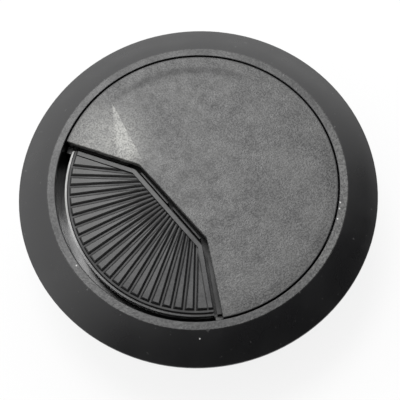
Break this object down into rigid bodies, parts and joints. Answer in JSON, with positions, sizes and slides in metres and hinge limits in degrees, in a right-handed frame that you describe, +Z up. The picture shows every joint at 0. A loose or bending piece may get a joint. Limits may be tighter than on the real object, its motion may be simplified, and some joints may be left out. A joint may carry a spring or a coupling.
{
  "type": "desk cable grommet with rotary shutter",
  "caption": "Round desk cable grommet: a flanged liner, a lift-out cap with a sector opening, and a ribbed shutter that turns under the cap to open or close it.",
  "frame": {"origin": "centre of the liner's lower end, on the grommet's axis", "axes": "+Z up along the axis, out of the desk; the cord opening faces -Y; the desk's top is the plane Z = 20 mm"},
  "size_m": [0.095, 0.095, 0.0254],
  "materials": {
    "liner_plastic": "black moulded plastic, satin bevel and fine grained land",
    "cap_plastic": "black moulded plastic with a matt fine grain, lightly scuffed",
    "shutter_plastic": "black moulded plastic, satin, with radial grip ribs"
  },
  "bodies": {
    "liner": {"liner": "liner_plastic"},
    "cap": {"cap": "cap_plastic"},
    "shutter": {"shutter": "shutter_plastic"}
  },
  "joints": [
    {"name": "cap_lift", "type": "slide", "parent": "liner", "child": "cap", "axis": [0, 0, 1], "range_m": [0, 0.03]},
    {"name": "shutter_turn", "type": "hinge", "parent": "cap", "child": "shutter", "pos_m": [0, 0, 0.02], "axis": [0, 0, 1], "range_deg": [0, 130]}
  ]
}
